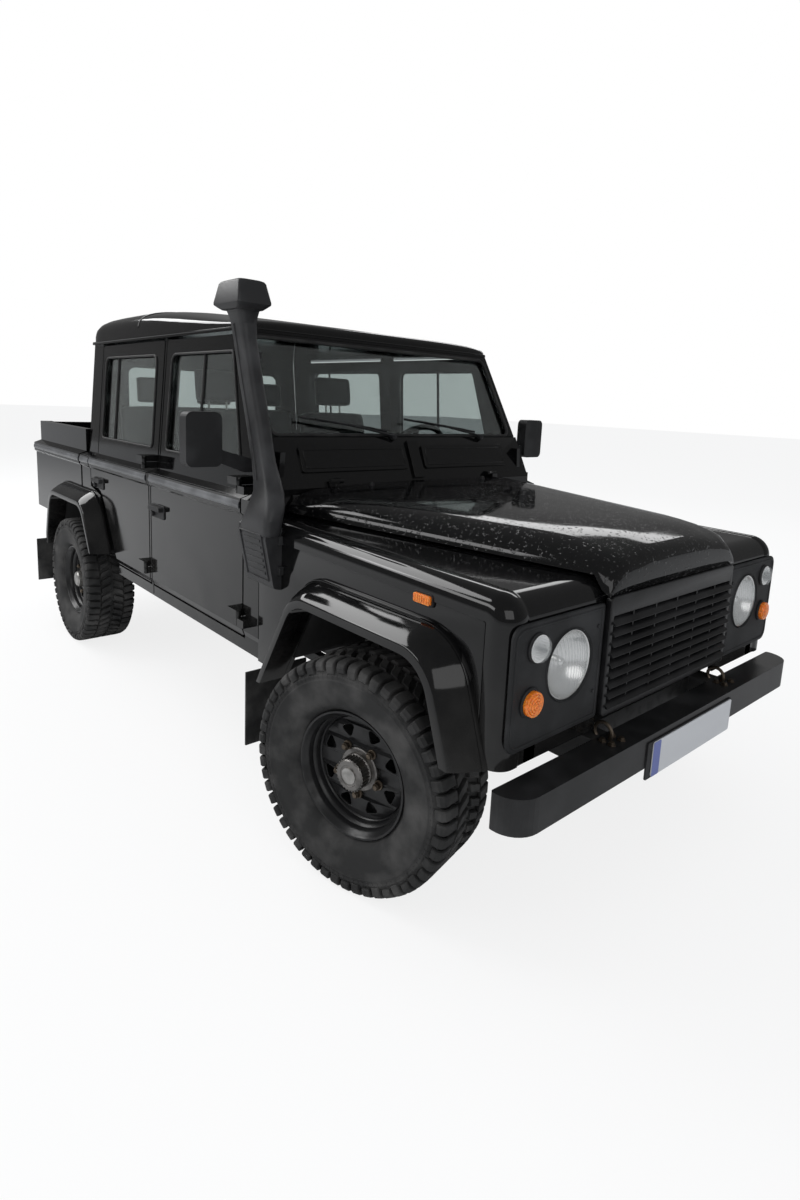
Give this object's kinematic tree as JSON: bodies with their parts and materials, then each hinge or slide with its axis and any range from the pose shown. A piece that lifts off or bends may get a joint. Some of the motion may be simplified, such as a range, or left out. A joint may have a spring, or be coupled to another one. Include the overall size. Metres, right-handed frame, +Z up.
{
  "type": "double-cab off-road pickup",
  "caption": "High-riding double-cab off-road pickup with a snorkel, steel wheels, mud tyres, opening doors, bonnet and tailgate, and front wheels that steer.",
  "frame": {"origin": "on the ground under the centre of the vehicle's box", "axes": "+X to the vehicle's front, +Y to its left, +Z up"},
  "size_m": [4.475, 2.04, 1.9499],
  "materials": {
    "black_paint": "gloss",
    "chassis_black": "satin",
    "spring_steel": "satin",
    "cast_metal": "matte",
    "exhaust_steel": "satin",
    "black_plastic": "matte",
    "grey_plastic": "matte",
    "cab_trim": "matte",
    "seat_fabric": "matte",
    "glass": "gloss",
    "lamp_lens": "gloss",
    "bumper_steel": "satin",
    "rubber": "matte",
    "wheel_steel": "gloss",
    "tyre": "matte"
  },
  "bodies": {
    "chassis": {"chassis_frame": "chassis_black", "front_axle": "chassis_black", "rear_axle": "chassis_black", "springs_and_dampers": "spring_steel", "drivetrain": "cast_metal", "exhaust": "exhaust_steel", "fuel_tank": "black_plastic", "bulkhead": "black_paint", "windscreen_frame": "black_paint", "cab_floor": "cab_trim", "rear_floor": "cab_trim", "cab_sides": "black_paint", "cab_rear_panel": "black_paint", "roof": "black_paint", "cab_glass": "glass", "dashboard": "cab_trim", "front_seats": "seat_fabric", "rear_seat": "seat_fabric", "front_wing_left": "black_paint", "front_wing_right": "black_paint", "wheel_arch_flares": "black_paint", "lamp_panels": "grey_plastic", "lamps": "lamp_lens", "grille": "grey_plastic", "front_bumper": "bumper_steel", "load_bed": "black_paint", "mudflaps": "rubber", "snorkel": "black_plastic", "door_hinges": "black_paint"},
    "bonnet": {"bonnet": "black_paint"},
    "tailgate": {"tailgate": "black_paint"},
    "steering_wheel": {"steering_wheel": "black_plastic"},
    "front_door_left": {"front_door_left": "black_paint", "front_glass_left": "glass", "mirror_left": "black_plastic"},
    "front_door_right": {"front_door_right": "black_paint", "front_glass_right": "glass", "mirror_right": "black_plastic"},
    "rear_door_left": {"rear_door_left": "black_paint", "rear_glass_left": "glass"},
    "rear_door_right": {"rear_door_right": "black_paint", "rear_glass_right": "glass"},
    "knuckle_left": {"knuckle_left": "chassis_black"},
    "knuckle_right": {"knuckle_right": "chassis_black"},
    "track_rod": {"track_rod": "chassis_black"},
    "front_left_wheel": {"front_left_rim": "wheel_steel", "front_left_tyre": "tyre"},
    "front_right_wheel": {"front_right_rim": "wheel_steel", "front_right_tyre": "tyre"},
    "rear_left_wheel": {"rear_left_rim": "wheel_steel", "rear_left_tyre": "tyre"},
    "rear_right_wheel": {"rear_right_rim": "wheel_steel", "rear_right_tyre": "tyre"}
  },
  "joints": [
    {"name": "steer_left", "type": "hinge", "parent": "chassis", "child": "knuckle_left", "pos_m": [1.5325, 0.643, 0.375], "axis": [0, 0, 1], "range_deg": [-44, 16]},
    {"name": "steer_right", "type": "hinge", "parent": "chassis", "child": "knuckle_right", "pos_m": [1.5325, -0.643, 0.375], "axis": [0, 0, 1], "range_deg": [-44, 16]},
    {"name": "steering_wheel_turn", "type": "hinge", "parent": "chassis", "child": "steering_wheel", "pos_m": [0.6875, 0.37, 1.095], "axis": [-0.848, 0, 0.5299], "range_deg": [-800, 300]},
    {"name": "track_rod_slide", "type": "slide", "parent": "chassis", "child": "track_rod", "axis": [0, 1, 0], "range_m": [-0.04, 0.105]},
    {"name": "front_left_spin", "type": "hinge", "parent": "knuckle_left", "child": "front_left_wheel", "pos_m": [1.50541, 0.75167, 0.375], "axis": [-0.2419, 0.9703, 0], "continuous": true},
    {"name": "front_right_spin", "type": "hinge", "parent": "knuckle_right", "child": "front_right_wheel", "pos_m": [1.5596, -0.75167, 0.375], "axis": [-0.2419, 0.9703, 0], "continuous": true},
    {"name": "rear_left_spin", "type": "hinge", "parent": "chassis", "child": "rear_left_wheel", "pos_m": [-1.2015, 0.755, 0.375], "axis": [0, 1, 0], "continuous": true},
    {"name": "rear_right_spin", "type": "hinge", "parent": "chassis", "child": "rear_right_wheel", "pos_m": [-1.2015, -0.755, 0.375], "axis": [0, 1, 0], "continuous": true},
    {"name": "front_door_left_hinge", "type": "hinge", "parent": "chassis", "child": "front_door_left", "pos_m": [0.8165, 0.822, 0.69], "axis": [0, 0, -1], "range_deg": [0, 70]},
    {"name": "front_door_right_hinge", "type": "hinge", "parent": "chassis", "child": "front_door_right", "pos_m": [0.8165, -0.822, 0.69], "axis": [0, 0, 1], "range_deg": [0, 70]},
    {"name": "rear_door_left_hinge", "type": "hinge", "parent": "chassis", "child": "rear_door_left", "pos_m": [-0.1275, 0.822, 0.69], "axis": [0, 0, -1], "range_deg": [0, 70]},
    {"name": "rear_door_right_hinge", "type": "hinge", "parent": "chassis", "child": "rear_door_right", "pos_m": [-0.1275, -0.822, 0.69], "axis": [0, 0, 1], "range_deg": [0, 70]},
    {"name": "bonnet_hinge", "type": "hinge", "parent": "chassis", "child": "bonnet", "pos_m": [0.9405, 0, 1.207], "axis": [0, -1, 0], "range_deg": [0, 55]},
    {"name": "tailgate_hinge", "type": "hinge", "parent": "chassis", "child": "tailgate", "pos_m": [-2.2135, 0, 0.823], "axis": [0, -1, 0], "range_deg": [0, 90]}
  ],
  "couplings": [
    {"joint": "steer_right", "follows": "steer_left", "ratio": 1},
    {"joint": "steering_wheel_turn", "follows": "steer_left", "ratio": 18},
    {"joint": "track_rod_slide", "follows": "steer_left", "m_per_rad": -0.134}
  ]
}
